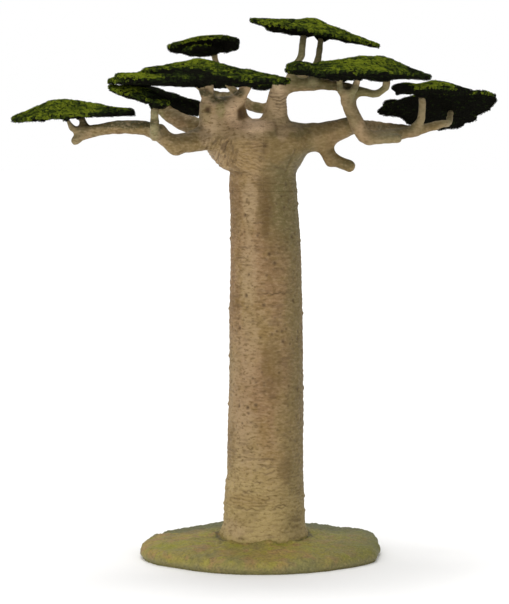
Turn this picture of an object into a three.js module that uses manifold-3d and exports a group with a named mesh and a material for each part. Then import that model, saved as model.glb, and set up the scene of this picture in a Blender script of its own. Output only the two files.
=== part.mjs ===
// A moulded display model of a baobab tree: a tall, smooth, nearly straight trunk that opens into
// a broad head, boughs that reach out level all round it, and thin, humped pads of foliage that
// lie on short twigs. The tree stands on an oval plate of ground, moulded with it.
//
// Frame: millimetres, +Z up, +X to the crown's right, -Y to its front. The origin lies in the
// flat underside of the plate, below the foot of the trunk.

import * as THREE from "three";
import { mergeVertices } from "three/addons/utils/BufferGeometryUtils.js";
import Module from "manifold-3d";

const wasm = await Module();
wasm.setup();

// ---------------------------------------------------------------- driving dimensions

const GAP = 0.35; // left between two pieces that touch

const BASE = {
  width: 134, // along X
  depth: 128, // along Y
  shift: -1.8, // how far its middle lies along X from the trunk's foot
  rim: 7.5, // height where the edge turns over into the top
  top: 10.5, // height of the seat of the trunk
  seat: 29, // radius of the flat seat
  margin: 1, // how much wider than the seat the even middle of the plate is
  sides: 32,
  unevenness: 0.006, // of the outline
  waves: 5, // which outline it has
};
// Low banks on the plate's top edge: the direction they lie in, in degrees, how wide they are, and
// their height.
const BANKS = [
  [45, 26, 1.2],
  [109, 13, 1.3],
];
// Blunt corners of the plate's outline: their direction and width in degrees, and how far they
// stand out as a share of its radius.
const CORNERS = [
  [33, 21, 0.064],
  [-26, 12, 0.055],
];
// The plate's edge from its underside to its top: shares of the half width and of the rim's height.
const BASE_EDGE = [[0.965, 0], [1, 0.3], [0.99, 0.65], [0.95, 1], [0.75, 1.18]];
const BASE_TOP_EDGE = 0.9; // the share of the rim's height above which the top begins

const TRUNK_FOOT = BASE.top + GAP;
const TRUNK_TIP = 243;
const TRUNK_SIDES = 24;
// Height above the plate's underside, radius, and how far the axis has wandered along X.
const TRUNK_PROFILE = [
  [TRUNK_FOOT, 25.6, 0.6],
  [18, 23.0, 1.2],
  [37, 22.2, 1.4],
  [46, 21.3, 1.8],
  [77, 20.9, 2.1],
  [107, 20.4, 2.2],
  [142, 19.9, 2.2],
  [170, 19.3, 1.9],
  [192, 18.6, 1.2],
  [209, 18.5, 0.3],
  [213, 19.3, -0.3],
  [216, 22.0, -1.5],
  [219, 24.6, -2.2],
  [225, 27.8, -2.4],
  [231, 29.0, -2.2],
  [237, 26.0, -1.5],
  [241, 19.0, -1.0],
];

const LIMB_SIDES = 8;
const LIMB_STEP = 10; // length of the straight pieces that a limb bends in
const LIMB_ROOT = 0.35; // how far a limb's root bulges back, as a share of its radius
const LIMB_SHOULDER = 0.6; // radius of the rounded tip's shoulder, as a share of the tip's radius
const LIMB_TIP = 0.6; // how far the rounded tip stands out, as a share of the tip's radius
const LIMB_TURN = 0.75; // where that shoulder lies between the limb's end and the tip of the rounding

const PAD_SEGMENTS = 22; // round a pad
const PAD_RINGS = 7; // from its crest to its underside, an odd number so that the edge is a wall
const PAD_EDGE = 1.7; // height of that wall
const PAD_UNEVENNESS = 0.045; // of the outline
const PAD_HUMP = 0.45; // width of the hump, as a share of the pad's half size
const PAD_SPREAD = 1.15; // how far the rings draw in towards the crest

// The waves that make an outline uneven: how many round it, and how strong.
const OUTLINE_WAVES = [[2, 0.5], [3, 1.0], [4, 0.6], [5, 0.8], [7, 0.5]];

// Places where limbs fork or turn.
const FORK = {
  head: [0, 0, 231],
  leftElbow: [-48, -24, 228],
  leftEnd: [-97, -14, 236],
  leftUpright: [-29, -20, 252],
  middleUpright: [-13.5, -14, 248],
  stemTop: [8.4, -22, 260],
  armBend: [61.3, -22, 255.5],
  rightKnee: [49, -8, 239],
  rightElbow: [56.5, -16, 231.6],
  rightFork: [45.4, -25, 253],
  rightEnd: [100, 0, 240],
  rearLeft: [-14, 56, 257],
  rearStem: [9, 34, 257],
  rearRight: [38, 64, 266],
  stubBend: [36.6, -4.5, 222.4],
};

// Each limb runs from one place to another and bows through a third; thick is its radius at the
// two ends. A limb is trimmed by whatever comes before it in this list.
const LIMBS = [
  // left side
  ["left_bough", FORK.head, [-28, -13, 232], FORK.leftElbow, [9.0, 5.4]],
  ["left_bough_outer", FORK.leftElbow, [-61, -23, 237], FORK.leftEnd, [4.8, 3.3]],
  ["left_cut_stub", [-91, -15, 235.4], [-97.5, -14, 233.8], [-102.8, -14, 230], [3.1, 2.6]],
  ["far_left_twig_outer", [-96, -14, 235], [-105, -15, 238], [-107, -16, 245], [2.1, 1.7]],
  ["far_left_twig_inner", [-95, -13, 236], [-98, -11, 240], [-99, -10, 245], [2.6, 2.2]],
  ["left_front_twig", [-57.4, -29, 231], [-58.2, -33, 240], [-57.4, -36, 252], [3.2, 2.1]],
  ["left_rear_bough", FORK.head, [-44, 10, 240.6], [-59, 20, 251], [7.8, 3.8]],
  // the two uprights at the left of the head
  ["left_upright", [-20, -7, 229], [-27, -14, 242], FORK.leftUpright, [11.0, 5.6]],
  ["left_upright_tip", FORK.leftUpright, [-31.4, -24, 257], [-32.8, -29, 264], [3.5, 2.4]],
  ["left_upright_twig", FORK.leftUpright, [-29, -23, 256], [-28.6, -28, 264], [3.4, 2.2]],
  ["middle_upright", [-12, -5, 231], [-14.5, -10, 241], FORK.middleUpright, [9.0, 5.2]],
  ["middle_upright_tip", FORK.middleUpright, [-12, -20, 254], [-6, -27, 264], [4.0, 2.7]],
  ["upright_bridge", [-28, -20, 251], [-21, -19, 248.4], [-13, -17, 250], [4.2, 4.0]],
  // the stem at the front, its arm to the right and the top twigs
  ["front_stem", [7, -5, 232], [7.4, -14, 246], FORK.stemTop, [9.2, 4.3]],
  ["front_arm", FORK.stemTop, [37, -20, 260.8], FORK.armBend, [4.2, 2.5]],
  ["front_arm_tip", FORK.armBend, [66.6, -24, 258.5], [67.2, -27, 266], [2.4, 2.2]],
  ["stem_twig_left", FORK.stemTop, [8, -28, 261], [5, -34, 263], [3.2, 1.8]],
  ["top_twig_left", [15, -22, 265], [20, -15, 271], [23, -6, 291], [2.6, 1.8]],
  ["top_twig_right", [27, -24, 262], [30, -14, 272], [33, -3, 291], [2.6, 1.8]],
  // right side
  ["right_bough", FORK.head, [30, -3, 233], FORK.rightKnee, [11.5, 5.2]],
  ["right_upright", FORK.rightElbow, [50.4, -19, 242], FORK.rightFork, [4.2, 4.0]],
  ["right_fork_left", FORK.rightFork, [42, -30, 258], [41, -34, 266], [2.6, 1.7]],
  ["right_fork_right", FORK.rightFork, [49, -29, 257], [52, -33, 266], [2.8, 1.9]],
  ["right_bough_outer", FORK.rightElbow, [80, -9, 235], FORK.rightEnd, [4.2, 2.6]],
  ["right_cut_stub", FORK.rightElbow, [67, -17, 231.3], [75, -17, 231.6], [3.2, 2.4]],
  ["right_twig_inner", [82, -8, 236], [87, -11, 242], [87, -13, 258], [2.6, 1.9]],
  ["right_twig_outer", FORK.rightEnd, [104, 13, 240.5], [106.5, 30, 247], [2.3, 1.8]],
  ["right_rear_bough", FORK.rightKnee, [66, 16, 237.4], [88, 50, 236.8], [4.6, 2.6]],
  ["right_stub", [32, -3, 232], [35.6, -4, 224.5], [37.8, -4.5, 216.9], [4.8, 2.6]],
  ["right_stub_end", FORK.stubBend, [42.6, -6.5, 218.6], [49.4, -8, 216.2], [3.7, 3.5]],
  // rear
  ["rear_stem", [9, 10, 232], [9, 28, 242], FORK.rearStem, [8.0, 4.4]],
  ["rear_left_bough", [9, 30, 248], [-5, 36, 249.5], FORK.rearLeft, [3.4, 2.8]],
  ["rear_left_twig", FORK.rearLeft, [-24.5, 57, 270], [-28, 54, 283], [2.6, 1.8]],
  ["rear_left_twig_outer", FORK.rearLeft, [-25, 72, 257], [-38, 82, 262], [2.6, 1.9]],
  ["rear_right_bough", FORK.rearStem, [20, 50, 265], FORK.rearRight, [4.0, 2.8]],
  ["rear_right_twig", FORK.rearRight, [44, 72, 267], [50, 76, 272], [2.6, 1.9]],
];

// Each pad of foliage. span and depth are its size along X and Y, rise and drop how far its crest
// and its underside stand from its edge, crest where the hump is (as a share of the half sizes),
// taper how much narrower it grows towards the right, and sag how far its ends hang. roll turns it
// about Y (positive lifts the right end), pitch about X (positive lifts the front edge) and turn
// about Z, in degrees.
const PADS = {
  far_left: {
    at: [-103, -13, 245.4], span: 68, depth: 32, rise: 3.6, drop: 0.8, crest: [-0.26, 0.1],
    taper: 0.55, hump: 4.6, sag: 1.8, roll: 2.2, pitch: -8, turn: 2, seed: 3,
  },
  left_front: {
    at: [-66.5, -36, 254.6], span: 34, depth: 32, rise: 1.6, drop: 1.6, crest: [0.1, 0],
    taper: 0.1, hump: 1.0, sag: -0.5, roll: -15, pitch: -7, turn: 10, seed: 8,
  },
  left_rear: {
    at: [-49, 32, 251.6], span: 31, depth: 36, rise: 2.0, drop: 1.8, crest: [0, 0],
    taper: 0, hump: 1.3, sag: 0.5, roll: -19, pitch: 15, turn: -8, seed: 12,
  },
  left_centre: {
    at: [-34, -43, 264.2], span: 98, depth: 50, rise: 3.0, drop: 2.4, crest: [0.0, 0.15],
    taper: 0.15, hump: 6.8, sag: 2.6, roll: 0, pitch: -4, turn: -4, seed: 21,
  },
  upper_left: {
    at: [-33.5, 52, 285.3], span: 42, depth: 38, rise: 2.2, drop: 2.6, crest: [0.5, -0.2],
    taper: -0.2, hump: 1.0, sag: 1.0, roll: 4, pitch: 10, turn: 6, seed: 34,
  },
  top: {
    at: [29, -2, 290.4], span: 72, depth: 44, rise: 2.0, drop: 1.4, crest: [0, 0.1],
    taper: 0.25, hump: 3.4, sag: 1.2, roll: -10.5, pitch: -6, turn: 8, seed: 41,
  },
  right_centre: {
    at: [52, -42, 268], span: 79, depth: 48, rise: 3.0, drop: 3.0, crest: [0.26, 0.1],
    taper: 0.28, hump: 5.4, sag: 2.4, roll: -2, pitch: -6, turn: 5, seed: 55,
  },
  right_upper: {
    at: [93.5, -17, 258.4], span: 43, depth: 28, rise: 1.6, drop: 1.4, crest: [0.05, 0],
    taper: 0.1, hump: 2.6, sag: 1.6, roll: 0, pitch: 3, turn: -6, seed: 62,
  },
  right_lower: {
    at: [98, 37, 247.8], span: 66, depth: 54, rise: 2.4, drop: 1.8, crest: [0.3, -0.3],
    taper: -0.34, hump: 1.4, sag: 1.0, roll: 1.5, pitch: 21, turn: 6, seed: 70,
  },
  rear_left: {
    at: [-40, 84, 265.5], span: 58, depth: 46, rise: 2.6, drop: 2.0, crest: [-0.1, 0.1],
    taper: 0, hump: 3.6, sag: 1.6, roll: -2, pitch: 4, turn: 12, seed: 83,
  },
  rear_right: {
    at: [52, 76, 270], span: 66, depth: 48, rise: 2.6, drop: 2.0, crest: [0.1, 0],
    taper: 0, hump: 3.4, sag: 1.6, roll: 2, pitch: 4, turn: -10, seed: 97,
  },
};

// ---------------------------------------------------------------- materials

const material = (name, color, roughness) =>
  Object.assign(new THREE.MeshStandardMaterial({ color, roughness, metalness: 0 }), { name });

const BARK = material("bark", 0x8f7653, 0.75);
const LEAF = material("foliage", 0x46611c, 0.8);
const GROUND = material("ground", 0x7e7c45, 0.8);

// ---------------------------------------------------------------- solids

// A closed three.js geometry as a manifold solid, and back.
function solidOf(geometry) {
  geometry.deleteAttribute("normal");
  geometry.deleteAttribute("uv");
  const merged = mergeVertices(geometry, 1e-3);
  return new wasm.Manifold(
    new wasm.Mesh({
      numProp: 3,
      vertProperties: merged.attributes.position.array,
      triVerts: new Uint32Array(merged.index.array),
    }),
  );
}

function geometryOf(solid) {
  const { vertProperties, triVerts } = solid.getMesh();
  const geometry = new THREE.BufferGeometry();
  geometry.setAttribute("position", new THREE.BufferAttribute(vertProperties, 3));
  geometry.setIndex(new THREE.BufferAttribute(triVerts, 1));
  geometry.computeVertexNormals();
  return geometry;
}

const largestBody = (solid) =>
  solid.decompose().reduce((most, body) => (body.volume() > most.volume() ? body : most));

// Moves every vertex of a geometry to where place(vertex) puts it.
function reshape(geometry, place) {
  const position = geometry.attributes.position;
  const vertex = new THREE.Vector3();
  for (let i = 0; i < position.count; i++) {
    place(vertex.fromBufferAttribute(position, i));
    position.setXYZ(i, vertex.x, vertex.y, vertex.z);
  }
  return geometry;
}

// An uneven outline: a radius near 1 for each angle. The seed shifts each wave round it.
const outline = (seed, unevenness) => (angle) =>
  OUTLINE_WAVES.reduce(
    (radius, [count, share]) =>
      radius + unevenness * share * Math.cos(count * angle + seed * count * count),
    1,
  );

// The plate of ground: flat underneath, with a rounded edge and a low mound round the trunk.
function baseSolid() {
  const { width, depth, shift, rim, top, seat, margin, sides } = BASE;
  const profile = BASE_EDGE.map(([out, up]) => new THREE.Vector2((out * width) / 2, up * rim));
  profile.unshift(new THREE.Vector2(0, 0));
  profile.push(new THREE.Vector2(seat, top), new THREE.Vector2(0, top));
  const edge = outline(BASE.waves, BASE.unevenness);
  const swellAt = (angle, places) =>
    places.reduce((sum, [direction, spread, crest]) => {
      const away = THREE.MathUtils.radToDeg(angle) - direction;
      return sum + crest * Math.exp(-((away / spread) ** 2));
    }, 0);
  const lathe = new THREE.LatheGeometry(profile, sides).rotateX(Math.PI / 2);
  return solidOf(
    reshape(lathe, (v) => {
      const radius = Math.hypot(v.x, v.y);
      if (radius < seat + margin) {
        v.x += shift;
        return;
      }
      const angle = Math.atan2(v.y, v.x);
      const uneven = edge(angle) + swellAt(angle, CORNERS);
      if (v.z > rim * BASE_TOP_EDGE) v.z += swellAt(angle, BANKS);
      v.x = v.x * uneven + shift;
      v.y *= (uneven * depth) / width;
    }),
  );
}

// The trunk, lathed from its profile and leaned along X.
function trunkSolid(grow = 0) {
  const profile = TRUNK_PROFILE.map(([z, radius]) => new THREE.Vector2(radius + grow, z));
  const lean = (z) => {
    const above = TRUNK_PROFILE.findIndex(([height]) => height >= z);
    if (above < 1) return TRUNK_PROFILE.at(above)[2];
    const [[z0, , x0], [z1, , x1]] = [TRUNK_PROFILE[above - 1], TRUNK_PROFILE[above]];
    return x0 + ((x1 - x0) * (z - z0)) / (z1 - z0);
  };
  profile.unshift(new THREE.Vector2(0, TRUNK_FOOT));
  profile.push(new THREE.Vector2(0, TRUNK_TIP + grow));
  const lathe = new THREE.LatheGeometry(profile, TRUNK_SIDES).rotateX(Math.PI / 2);
  return solidOf(reshape(lathe, (v) => (v.x += lean(v.z))));
}

// A limb: a tapering rod with round ends, lathed straight and then bent along its curve.
function limbSolid([, from, through, to, thick], grow = 0) {
  const curve = new THREE.CatmullRomCurve3(
    [from, through, to].map((point) => new THREE.Vector3(...point)), false, "centripetal",
  );
  const length = curve.getLength();
  const chord = new THREE.Vector3(...to).sub(new THREE.Vector3(...from));
  const level = new THREE.Vector3(0, 1, 0).cross(chord);
  const side = level.lengthSq() > 1 ? level.normalize() : new THREE.Vector3(1, 0, 0);

  const [root, tip] = thick.map((radius) => radius + grow);
  const profile = [new THREE.Vector2(0, -LIMB_ROOT * root)];
  const steps = Math.max(2, Math.ceil(length / LIMB_STEP));
  for (let step = 0; step <= steps; step++) {
    const share = step / steps;
    profile.push(new THREE.Vector2(THREE.MathUtils.lerp(root, tip, share), share * length));
  }
  const end = length + LIMB_TIP * tip;
  profile.push(new THREE.Vector2(LIMB_SHOULDER * tip, THREE.MathUtils.lerp(length, end, LIMB_TURN)));
  profile.push(new THREE.Vector2(0, end));

  const lathe = new THREE.LatheGeometry(profile, LIMB_SIDES);
  const [along, across, up] = [new THREE.Vector3(), new THREE.Vector3(), new THREE.Vector3()];
  return solidOf(
    reshape(lathe, (v) => {
      const share = THREE.MathUtils.clamp(v.y / length, 0, 1);
      curve.getTangentAt(share, along);
      up.crossVectors(side, along).normalize();
      across.crossVectors(along, up);
      const beyond = v.y - share * length;
      const [x, z] = [v.x, v.z];
      curve.getPointAt(share, v);
      v.addScaledVector(across, x).addScaledVector(up, z).addScaledVector(along, beyond);
    }),
  );
}

// A pad: a sphere pressed into a thin humped sheet with an uneven outline, fitted to its size and
// then tilted.
function padSolid(pad, grow = 0) {
  const { at, span, depth, rise, drop, crest, taper, hump, sag, roll, pitch, turn, seed } = pad;
  const edge = outline(seed, PAD_UNEVENNESS);
  const sphere = new THREE.SphereGeometry(1, PAD_SEGMENTS, PAD_RINGS).rotateX(Math.PI / 2);
  const sheet = reshape(sphere, (v) => {
    const reach = Math.hypot(v.x, v.y) ** PAD_SPREAD;
    const angle = Math.atan2(v.y, v.x);
    const fill = 1 - reach * reach;
    const x = Math.cos(angle) * reach * edge(angle);
    const y = Math.sin(angle) * reach * edge(angle) * (1 - taper * x);
    const swell = Math.exp(-((Math.hypot(x - crest[0], y - crest[1]) / PAD_HUMP) ** 2));
    const height = v.z > 0 ? (rise + hump * swell) * fill : -drop * fill;
    const wall = Math.sign(v.z) * (PAD_EDGE / 2 + grow);
    v.set(x, y, height + wall - sag * x * x);
  });
  sheet.computeBoundingBox();
  const { min, max } = sheet.boundingBox;
  sheet.translate(-(min.x + max.x) / 2, -(min.y + max.y) / 2, 0);
  sheet.scale((span + 2 * grow) / (max.x - min.x), (depth + 2 * grow) / (max.y - min.y), 1);
  const tilt = new THREE.Euler(...[-pitch, -roll, turn].map(THREE.MathUtils.degToRad), "ZYX");
  return solidOf(
    reshape(sheet, (v) => {
      v.applyEuler(tilt).add(new THREE.Vector3(...at));
    }),
  );
}

// ---------------------------------------------------------------- the tree

const tree = new THREE.Group();

function addNode(name, solid, finish) {
  const mesh = new THREE.Mesh(geometryOf(solid), finish);
  mesh.name = name;
  tree.add(mesh);
}

addNode("ground_plate", baseSolid(), GROUND);
addNode("trunk", trunkSolid(), BARK);

const cutters = [trunkSolid(GAP)];
for (const [name, pad] of Object.entries(PADS)) {
  addNode(`foliage_${name}`, padSolid(pad), LEAF);
  cutters.push(padSolid(pad, GAP));
}

for (const limb of LIMBS) {
  const trimmed = cutters.reduce((rest, cutter) => rest.subtract(cutter), limbSolid(limb));
  addNode(limb[0], largestBody(trimmed), BARK);
  cutters.push(limbSolid(limb, GAP));
}

export default tree;
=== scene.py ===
# %% [markdown]
# # A moulded baobab on its ground plate
#
# The real object is a hand-painted model tree about 30 cm tall: one moulded trunk with a crown of
# stubby boughs, flat pads of foliage on top, and an oval plate of ground under it. The sizes are
# settled already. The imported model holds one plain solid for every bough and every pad, and this
# lesson grows the bark, the leaves and the turf around those solids without moving any of them.

import math
import random

import bpy
import numpy as np
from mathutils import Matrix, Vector, kdtree, noise
from mathutils.bvhtree import BVHTree


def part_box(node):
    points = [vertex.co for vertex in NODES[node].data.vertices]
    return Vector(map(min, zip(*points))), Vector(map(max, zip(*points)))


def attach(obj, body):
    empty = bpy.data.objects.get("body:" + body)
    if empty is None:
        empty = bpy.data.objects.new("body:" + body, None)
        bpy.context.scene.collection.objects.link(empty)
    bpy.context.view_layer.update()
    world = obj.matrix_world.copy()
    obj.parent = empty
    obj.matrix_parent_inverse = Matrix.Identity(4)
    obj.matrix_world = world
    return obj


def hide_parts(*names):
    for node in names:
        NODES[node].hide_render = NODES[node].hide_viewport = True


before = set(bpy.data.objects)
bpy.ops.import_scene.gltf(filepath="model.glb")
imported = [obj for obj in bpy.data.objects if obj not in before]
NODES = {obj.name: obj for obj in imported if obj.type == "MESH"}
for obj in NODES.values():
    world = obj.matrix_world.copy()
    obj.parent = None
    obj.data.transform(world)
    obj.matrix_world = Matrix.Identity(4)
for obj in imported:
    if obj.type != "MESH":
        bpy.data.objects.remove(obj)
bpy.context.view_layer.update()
MM = 0.001
PADS = sorted(name for name in NODES if name.startswith("foliage_"))
WOOD = sorted(name for name in NODES if name not in PADS and name != "ground_plate")
bpy.ops.object.select_all(action="DESELECT")
print(len(WOOD), "wooden solids,", len(PADS), "pads of foliage, and the ground plate")

# %% [markdown]
# ## The camera, the floor and the light
#
# The camera comes first, so that every trial render shows the tree from the same place. A long
# lens far away keeps the trunk's sides nearly parallel. The floor is a wide pale sheet. One broad
# soft lamp shines from the front, a little from the left. Another shines from nearly straight
# above and lays a soft shadow round the plate. A white surround fills the rest.

# %% Camera
TREE_MIDDLE = Vector((-4.2, 0, 141.3)) * MM
CAMERA_PLACE = Vector((-4.2, -1300, 232)) * MM
LENS_MM = 140

bpy.ops.object.camera_add(location=CAMERA_PLACE)
camera = bpy.context.object
camera.rotation_euler = (TREE_MIDDLE - CAMERA_PLACE).to_track_quat("-Z", "Y").to_euler()
camera.data.lens = LENS_MM
bpy.context.scene.camera = camera
print("camera", round((TREE_MIDDLE - CAMERA_PLACE).length, 3), "m from the tree")

# %% Floor and lamps
FLOOR_SIDE = 30.0
WHITE = (1.0, 1.0, 1.0, 1.0)

bpy.ops.mesh.primitive_plane_add(size=FLOOR_SIDE, location=(0, 0, 0))
floor = bpy.context.object
floor.name = "studio_floor"


def soft_sun(name, direction, strength, softness, colour):
    """Adds a wide soft lamp, far off, whose light comes from a direction."""
    bpy.ops.object.light_add(type="SUN", location=Vector(direction))
    lamp = bpy.context.object
    lamp.name = name
    lamp.rotation_euler = Vector(direction).to_track_quat("Z", "Y").to_euler()
    lamp.data.energy = strength
    lamp.data.angle = math.radians(softness)
    lamp.data.color = colour


soft_sun("front_lamp", (-0.42, -0.95, 0.62), 1.2, 65, (1.0, 0.98, 0.94))
soft_sun("top_lamp", (0.0, 0.22, 1.0), 1.4, 24, (1.0, 1.0, 1.0))

SURROUND = 0.62
surround = bpy.context.scene.world or bpy.data.worlds.new("surround")
bpy.context.scene.world = surround
surround.use_nodes = True
backing = surround.node_tree.nodes["Background"]
backing.inputs["Color"].default_value = WHITE
seen = surround.node_tree.nodes.new("ShaderNodeLightPath").outputs["Is Camera Ray"]
level = surround.node_tree.nodes.new("ShaderNodeMapRange")
level.inputs["To Min"].default_value = SURROUND
level.inputs["To Max"].default_value = 1.0
surround.node_tree.links.new(seen, level.inputs["Value"])
surround.node_tree.links.new(level.outputs["Result"], backing.inputs["Strength"])
bpy.context.scene.view_settings.view_transform = "Standard"
print("two soft lamps and a white surround")

# %% [markdown]
# ## Small helpers
#
# An operator acts on whatever is selected, so each step first selects its own piece and nothing
# else. Modifiers are added and applied at once, which leaves plain meshes behind. Noise is
# Blender's own gradient noise, read at a point and stretched by dividing the point's coordinates.


# %% Selecting, modifying and joining
def only(piece):
    """Selects one object and makes it active, so that the next operator acts on it alone."""
    bpy.ops.object.select_all(action="DESELECT")
    piece.select_set(True)
    bpy.context.view_layer.objects.active = piece


def switch_to(mode):
    """Puts the active object into EDIT or OBJECT mode."""
    bpy.ops.object.mode_set(mode=mode)


def new_piece(name, data):
    """Adds an object to the scene."""
    piece = bpy.data.objects.new(name, data)
    bpy.context.collection.objects.link(piece)
    return piece


def apply(piece, kind, **settings):
    """Adds one modifier with these settings and applies it."""
    only(piece)
    modifier = piece.modifiers.new(kind.lower(), kind)
    for name, value in settings.items():
        setattr(modifier, name, value)
    bpy.ops.object.modifier_apply(modifier=modifier.name)


def remesh(piece, grain):
    """Wraps the piece in one even closed skin whose faces are about `grain` across."""
    apply(piece, "REMESH", mode="VOXEL", voxel_size=grain, use_smooth_shade=True)


def swell(piece, distance):
    """Moves the whole surface outwards, or inwards if the distance is negative."""
    apply(piece, "DISPLACE", strength=distance, mid_level=0)


def copy_of(node, name):
    """Copies a solid of the frame as a new object, with its loose triangles joined up."""
    piece = new_piece(name, NODES[node].data.copy())
    piece.data.materials.clear()
    only(piece)
    switch_to("EDIT")
    bpy.ops.mesh.select_all(action="SELECT")
    bpy.ops.mesh.remove_doubles(threshold=0.01 * MM)
    switch_to("OBJECT")
    return piece


def join(pieces, name):
    """Joins the pieces into the first one and names it."""
    only(pieces[0])
    for piece in pieces:
        piece.select_set(True)
    if len(pieces) > 1:
        bpy.ops.object.join()
    pieces[0].name = name
    return pieces[0]


# %% Reading and moving the points of a mesh
def points_of(piece):
    """The piece's vertices as rows of x, y, z in metres."""
    points = np.empty(len(piece.data.vertices) * 3)
    piece.data.vertices.foreach_get("co", points)
    return points.reshape(-1, 3)


def normals_of(piece):
    """The outward direction at each vertex."""
    normals = np.empty(len(piece.data.vertices) * 3)
    piece.data.vertex_normals.foreach_get("vector", normals)
    return normals.reshape(-1, 3)


def place_points(piece, points):
    """Puts the piece's vertices at new places."""
    piece.data.vertices.foreach_set("co", points.ravel())
    piece.data.update()


def paint(piece, name, values):
    """Stores one number for each vertex, which a material can read by its name."""
    attribute = piece.data.attributes.new(name, "FLOAT", "POINT")
    attribute.data.foreach_set("value", np.asarray(values, np.float32))


def surface_of(piece):
    """The piece's faces, ready to be met by straight lines."""
    faces = [tuple(face.vertices) for face in piece.data.polygons]
    return BVHTree.FromPolygons(points_of(piece).tolist(), faces)


def lumps(points, size, seed):
    """Soft noise from about -1 to 1, its lumps `size` mm across: one number, or one per axis."""
    scaled = (points / (np.asarray(size) * MM) + (seed * 17.3, seed * 5.1, seed * 9.7)).tolist()
    return np.array([noise.noise(point) for point in scaled])


def pull(points, pulls):
    """Drags the points near each place along: a place, a reach and a move, all in millimetres."""
    moved = points.copy()
    for place, reach, move in pulls:
        share = np.clip(1 - (np.linalg.norm(points / MM - place, axis=1) / reach) ** 2, 0, 1) ** 2
        moved += share[:, None] * np.array(move) * MM
    return moved


def ramp(values, low, high):
    """A smooth step from 0 at `low` to 1 at `high`."""
    share = np.clip((values - low) / (high - low), 0, 1)
    return share * share * (3 - 2 * share)


def bell(values, middle, width):
    """A soft hump that is 1 at the middle and fades away over the width."""
    return np.exp(-((values - middle) / width) ** 2)


def spread(away, inner, outer, places):
    """The strongest of several soft spots. `away` gives the distance of all points from one."""
    force = 0
    for *place, strength in places:
        force = np.maximum(force, strength * (1 - ramp(away(*place), inner, outer)))
    return force


print("helpers ready")

# %% [markdown]
# ## One skin of wood
#
# On the real model trunk and boughs are one moulding, and every fork is filled with a fleshy web.
# Modelling each web by hand would take a day. Swelling all the solids together until they
# overlap, wrapping them in one skin and shrinking that skin again does it at once: narrow
# crotches stay filled and the open surfaces come back to where they were. The thin twigs join in
# afterwards with a smaller web, so that the gaps between them stay open.

# %% Join the solids into one skin
WEB = 2.3 * MM
TWIG_WEB = 0.8 * MM
COARSE_GRAIN = 1.0 * MM
WOOD_GRAIN = 0.6 * MM
FULLER = 0.15 * MM
BURIED = 4.0 * MM


def webbed(piece, web, back):
    """Fills the narrow crotches of a piece and leaves its open surfaces about where they were."""
    remesh(piece, COARSE_GRAIN)
    swell(piece, web)
    remesh(piece, COARSE_GRAIN)
    swell(piece, back - web)


trunk_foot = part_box("trunk")[0].z
is_twig = {name: any(word in name for word in ("twig", "tip", "fork", "cut")) for name in WOOD}
boughs = join([copy_of(name, "bough_" + name) for name in WOOD if not is_twig[name]], "boughs")

switch_to("EDIT")
bpy.ops.mesh.select_mode(type="FACE")
bpy.ops.mesh.select_all(action="DESELECT")
switch_to("OBJECT")
for face in boughs.data.polygons:
    face.select = face.normal.z < -0.9 and face.center.z < trunk_foot + 0.1 * MM
switch_to("EDIT")
bpy.ops.mesh.extrude_region_move(TRANSFORM_OT_translate={"value": (0, 0, -BURIED)})
switch_to("OBJECT")

webbed(boughs, WEB, 0.0)
thin_ones = [copy_of(name, "twig_" + name) for name in WOOD if is_twig[name]]
wood = join([boughs, *thin_ones], "wood_skin")
webbed(wood, TWIG_WEB, FULLER)
apply(wood, "SMOOTH", factor=0.5, iterations=6)
remesh(wood, WOOD_GRAIN)
apply(wood, "SMOOTH", factor=0.5, iterations=4)
print("wood skin:", len(wood.data.polygons), "faces")

# %% [markdown]
# ## A centreline for every limb
#
# Wrinkles run round a limb and not along the world's axes, so each limb needs its own line. It is
# found from the limb's solid: the long direction of its corners, and the middle of the corners at
# six stations along it. Every vertex of the skin then knows how far along a limb it sits.


# %% Find the centrelines
STATIONS = 6


class Limb:
    """A limb's centreline, its radius along it, and two directions square to it."""

    def __init__(self, node):
        corners = np.unique(points_of(NODES[node]).round(6), axis=0)
        middle = corners.mean(0)
        self.along, self.side, self.front = np.linalg.svd(corners - middle)[2]
        reach = (corners - middle) @ self.along
        marks = np.linspace(reach.min(), reach.max(), STATIONS)
        step = marks[1] - marks[0]
        nearness = np.exp(-((reach - marks[:, None]) / (0.8 * step)) ** 2)
        nearness /= nearness.sum(1, keepdims=True)
        self.line = nearness @ corners
        self.line[0] += self.along * (marks[0] - (self.line[0] - middle) @ self.along)
        self.line[-1] += self.along * (marks[-1] - (self.line[-1] - middle) @ self.along)
        steps = np.linalg.norm(np.diff(self.line, axis=0), axis=1)
        self.reach = np.concatenate([[0], np.cumsum(steps)])
        off = np.linalg.norm(np.cross(corners - middle, self.along), axis=1)
        self.radius = float(np.median(off))
        self.node = node

    def locate(self, points):
        """For each point: how far along the limb, the offset from its line, and the distance."""
        best = np.full(len(points), np.inf)
        along = np.zeros(len(points))
        offset = np.zeros_like(points)
        for start, end, so_far in zip(self.line[:-1], self.line[1:], self.reach):
            chord = end - start
            share = np.clip((points - start) @ chord / (chord @ chord), 0, 1)
            away = points - start - share[:, None] * chord
            distance = np.linalg.norm(away, axis=1)
            nearer = distance < best
            best[nearer] = distance[nearer]
            along[nearer] = so_far + share[nearer] * np.linalg.norm(chord)
            offset[nearer] = away[nearer]
        return along, offset, best


limbs = {name: Limb(name) for name in WOOD}
print("centrelines found; the longest is", round(max(l.reach[-1] for l in limbs.values()), 3), "m")

# %% [markdown]
# ## Bark in relief
#
# The bark is carved, not printed: ring wrinkles round the boughs and the neck, small level cracks,
# knots that stand out and pits that sink in. Each is a small move of the skin along its own
# outward direction. The same numbers are kept as paint, because on the real model a dark wash
# has run into every low place.

# %% Wrinkles that follow each limb
skin = points_of(wood)
outward = normals_of(wood)
height = skin[:, 2] / MM

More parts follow.
